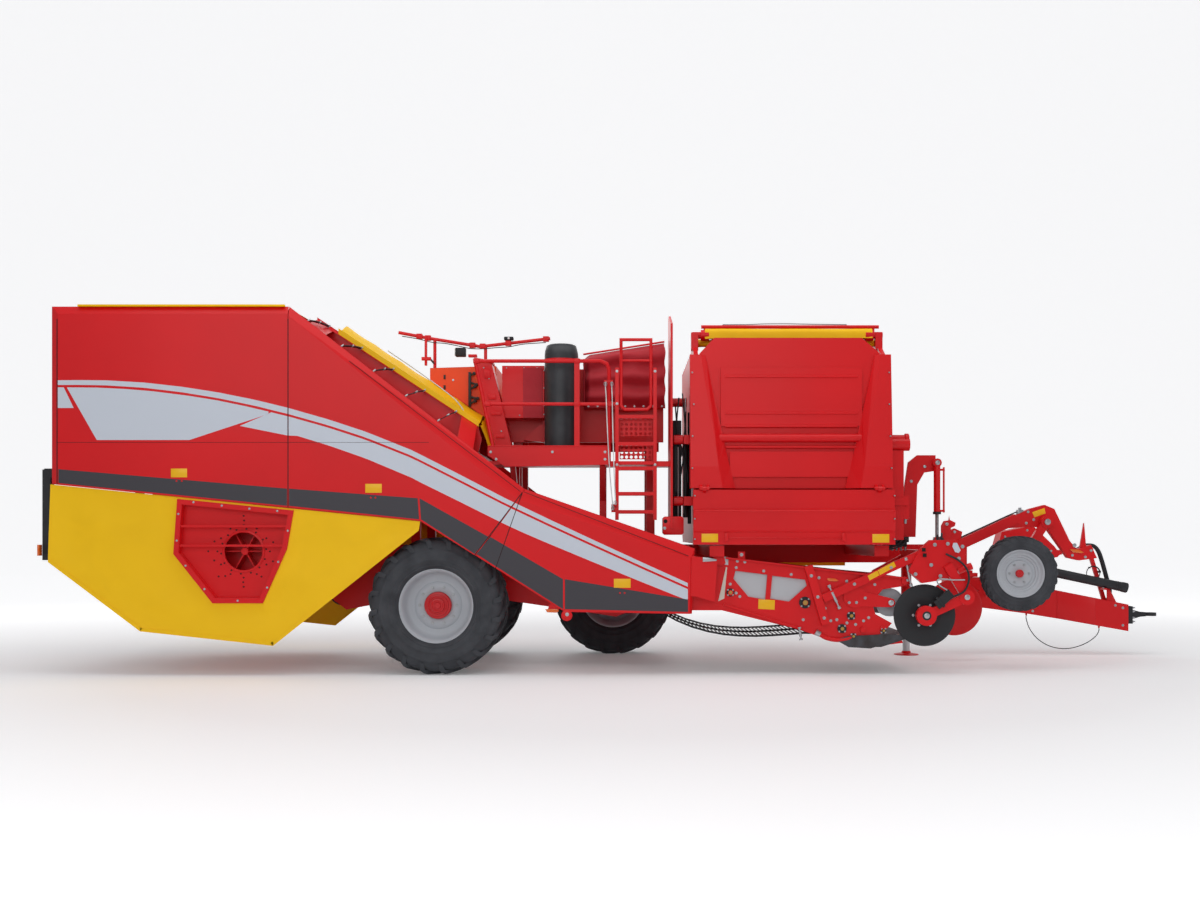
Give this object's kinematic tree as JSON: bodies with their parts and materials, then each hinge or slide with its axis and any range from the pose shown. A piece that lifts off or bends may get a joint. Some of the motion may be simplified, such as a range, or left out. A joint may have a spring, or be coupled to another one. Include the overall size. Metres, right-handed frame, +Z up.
{
  "type": "potato harvester",
  "caption": "Trailed potato harvester that lifts ridges at its side, cleans the crop on rod webs and with an air fan, and stores it in a bunker.",
  "frame": {"origin": "middle of the machine's length and width, on the ground that the tyres and the jack stand on", "axes": "+X forward to the hitch, +Y to the machine's left, +Z up"},
  "size_m": [13.112, 3.32, 4.0304],
  "materials": {
    "red_paint": "gloss",
    "yellow_tarp": "satin",
    "red_tarp": "satin",
    "orange_plastic": "satin",
    "black_plastic": "matte",
    "tyre_rubber": "matte",
    "silver_rim": "satin",
    "web_steel": "satin",
    "bare_steel": "satin",
    "cast_black": "matte",
    "hose_rubber": "matte",
    "white_rope": "matte"
  },
  "bodies": {
    "chassis": {"main_frame": "red_paint", "rear_axle": "red_paint", "main_web": "web_steel", "main_web_trough": "red_paint", "fan_casing": "red_paint", "fan_hatch_left": "red_paint", "fan_hatch_right": "red_paint", "panel_rear_right": "red_paint", "panel_rear_left": "red_paint", "panel_middle_right": "red_paint", "panel_middle_left": "red_paint", "panel_front_right": "red_paint", "rear_hood": "red_paint", "roof_cover": "yellow_tarp", "skirt_right": "yellow_tarp", "skirt_left": "yellow_tarp", "skirt_front_left": "yellow_tarp", "elevator_trough": "red_paint", "elevator_cover": "yellow_tarp", "orange_hood": "orange_plastic", "lamp_frame": "red_paint", "lamp_bar": "black_plastic", "picking_table": "red_paint", "waste_chute": "black_plastic", "transfer_bag": "red_tarp", "platform": "red_paint", "bunker": "red_paint", "bunker_floor": "black_plastic", "bunker_cover_roll": "yellow_tarp", "rope_left": "white_rope", "rope_right": "white_rope"},
    "wheel_rear_right": {"tyre_rear_right": "tyre_rubber", "rim_rear_right": "silver_rim"},
    "wheel_rear_left": {"tyre_rear_left": "tyre_rubber", "rim_rear_left": "silver_rim"},
    "knuckle": {"front_knuckle": "red_paint"},
    "wheel_front_left": {"tyre_front_left": "tyre_rubber", "rim_front_left": "silver_rim"},
    "fan": {"fan_rotor": "red_paint"},
    "ladder_gate": {"gate": "red_paint"},
    "chute": {"bunker_chute": "red_paint"},
    "digging_unit": {"digging_frame": "red_paint", "digging_web": "web_steel", "shares": "bare_steel", "boom": "red_paint"},
    "right_disc": {"disc_right": "black_plastic"},
    "left_disc": {"disc_left": "red_paint"},
    "wheel_arm": {"support_arm": "red_paint"},
    "support_wheel": {"tyre_support": "tyre_rubber", "rim_support": "silver_rim"},
    "tongue": {"drawbar": "red_paint", "hitch_eye": "cast_black", "drive_shaft": "black_plastic", "hose_near": "hose_rubber", "hose_far": "hose_rubber", "drawbar_cable": "hose_rubber"},
    "jack": {"jack_leg": "bare_steel"},
    "lift_cylinder": {"lift_barrel": "red_paint"},
    "lift_ram": {"lift_rod": "bare_steel"},
    "depth_roller": {"depth_roller": "silver_rim"}
  },
  "joints": [
    {"name": "rear_right_spin", "type": "hinge", "parent": "chassis", "child": "wheel_rear_right", "pos_m": [-2.258, -1.2, 0.75], "axis": [0, 1, 0], "continuous": true},
    {"name": "rear_left_spin", "type": "hinge", "parent": "chassis", "child": "wheel_rear_left", "pos_m": [-2.258, 1.24, 0.75], "axis": [0, 1, 0], "continuous": true},
    {"name": "front_steer", "type": "hinge", "parent": "chassis", "child": "knuckle", "pos_m": [-0.343, 0.86, 0.75], "axis": [0, 0, 1], "range_deg": [-15, 15]},
    {"name": "front_left_spin", "type": "hinge", "parent": "knuckle", "child": "wheel_front_left", "pos_m": [-0.343, 1.3, 0.75], "axis": [0, 1, 0], "continuous": true},
    {"name": "fan_spin", "type": "hinge", "parent": "chassis", "child": "fan", "pos_m": [-4.343, 0, 1.347], "axis": [0, 1, 0], "continuous": true},
    {"name": "gate_swing", "type": "hinge", "parent": "chassis", "child": "ladder_gate", "pos_m": [-0.078, -1.32, 3.326], "axis": [1, 0, 0], "range_deg": [0, 75]},
    {"name": "chute_fold", "type": "hinge", "parent": "chassis", "child": "chute", "pos_m": [1.62, -1.615, 2.03], "axis": [1, 0, 0], "range_deg": [0, 70]},
    {"name": "digger_lift", "type": "hinge", "parent": "chassis", "child": "digging_unit", "pos_m": [0.845, -0.69, 1.235], "axis": [0, -1, 0], "range_deg": [-5.5, 3]},
    {"name": "depth_roller_spin", "type": "hinge", "parent": "digging_unit", "child": "depth_roller", "pos_m": [2.706, -0.69, 0.785], "axis": [0, 1, 0], "continuous": true},
    {"name": "right_disc_spin", "type": "hinge", "parent": "digging_unit", "child": "right_disc", "pos_m": [3.066, -1.5, 0.65], "axis": [0, 1, 0], "continuous": true},
    {"name": "left_disc_spin", "type": "hinge", "parent": "digging_unit", "child": "left_disc", "pos_m": [3.765, 0.06, 0.652], "axis": [0, 1, 0], "continuous": true},
    {"name": "support_arm_swing", "type": "hinge", "parent": "digging_unit", "child": "wheel_arm", "pos_m": [4.633, -0.72, 1.674], "axis": [0, -1, 0], "range_deg": [-12, 25]},
    {"name": "support_wheel_spin", "type": "hinge", "parent": "wheel_arm", "child": "support_wheel", "pos_m": [4.251, -0.95, 1.089], "axis": [0, 1, 0], "continuous": true},
    {"name": "drawbar_steer", "type": "hinge", "parent": "chassis", "child": "tongue", "pos_m": [4.18, 1, 0.8], "axis": [0, 0, 1], "range_deg": [-20, 20]},
    {"name": "jack_slide", "type": "slide", "parent": "chassis", "child": "jack", "axis": [0, 0, 1], "range_m": [0, 0.35]},
    {"name": "lift_swing", "type": "hinge", "parent": "chassis", "child": "lift_cylinder", "pos_m": [3.374, -0.75, 2.35], "axis": [0, -1, 0], "range_deg": [-1.2, 1.2]},
    {"name": "lift_extend", "type": "slide", "parent": "lift_cylinder", "child": "lift_ram", "axis": [0, 0, -1], "range_m": [-0.14, 0.25]}
  ],
  "couplings": [
    {"joint": "lift_swing", "follows": "digger_lift", "ratio": -0.18},
    {"joint": "lift_extend", "follows": "digger_lift", "m_per_rad": -2.529}
  ]
}
